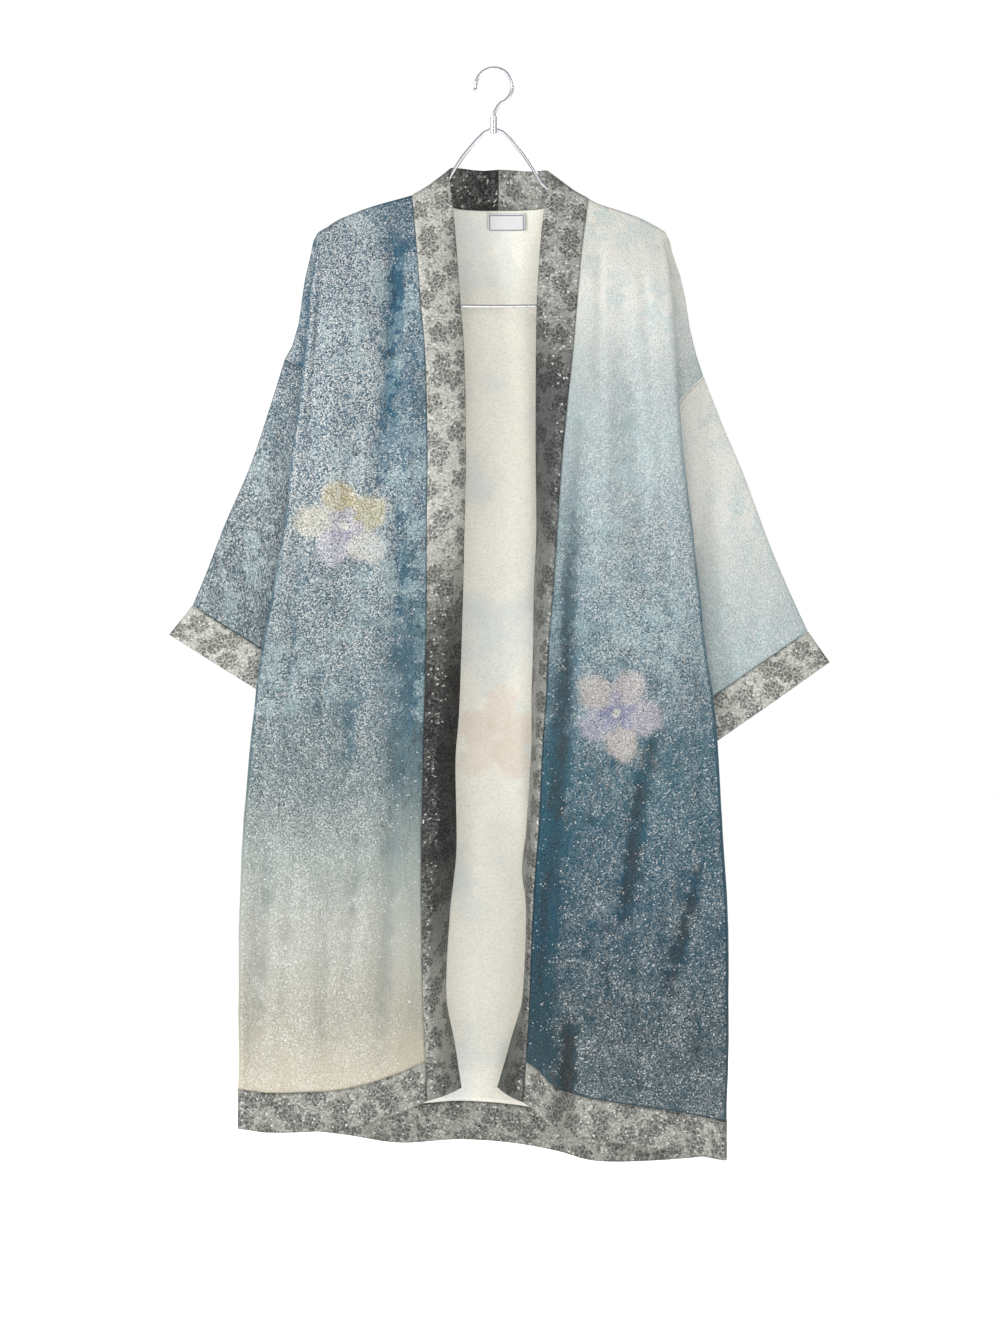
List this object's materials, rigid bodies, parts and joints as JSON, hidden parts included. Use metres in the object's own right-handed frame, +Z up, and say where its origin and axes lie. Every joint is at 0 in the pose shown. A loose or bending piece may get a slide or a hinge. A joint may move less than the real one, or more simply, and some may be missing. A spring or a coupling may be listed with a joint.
{
  "type": "kimono jacket on a hanger",
  "caption": "Long open kimono jacket with wide sleeves and contrast bands at the front, neck, cuffs and hem, hanging flat on a wire hanger.",
  "frame": {"origin": "the inside top of the hanger's hook, where a rail carries it", "axes": "+Z up; +X to the viewer's right, along the hanger's arms; the jacket's front faces -Y"},
  "size_m": [0.7926, 0.0738, 1.3207],
  "materials": {
    "front_jacquard": "crinkled metallic jacquard, petrol blue to silver grey, with a soft sparkle",
    "back_jacquard": "crinkled metallic jacquard, cream on its inner face",
    "sleeve_jacquard": "crinkled metallic jacquard, pale blue-grey",
    "trim_jacquard": "double layer of silver-grey jacquard with charcoal rosettes",
    "band_jacquard": "double layer of charcoal and silver floral jacquard",
    "woven_label": "bare woven label",
    "chromed_wire": "polished chrome plate"
  },
  "bodies": {
    "root": {"front_right": "front_jacquard", "front_left": "front_jacquard", "back": "back_jacquard", "sleeve_right": "sleeve_jacquard", "sleeve_left": "sleeve_jacquard", "cuff_right": "trim_jacquard", "cuff_left": "trim_jacquard", "hem_band_right": "trim_jacquard", "hem_band_left": "trim_jacquard", "hem_band_back": "trim_jacquard", "neckband_right": "band_jacquard", "neckband_left": "band_jacquard", "neck_label": "woven_label", "hanger": "chromed_wire"}
  },
  "joints": []
}
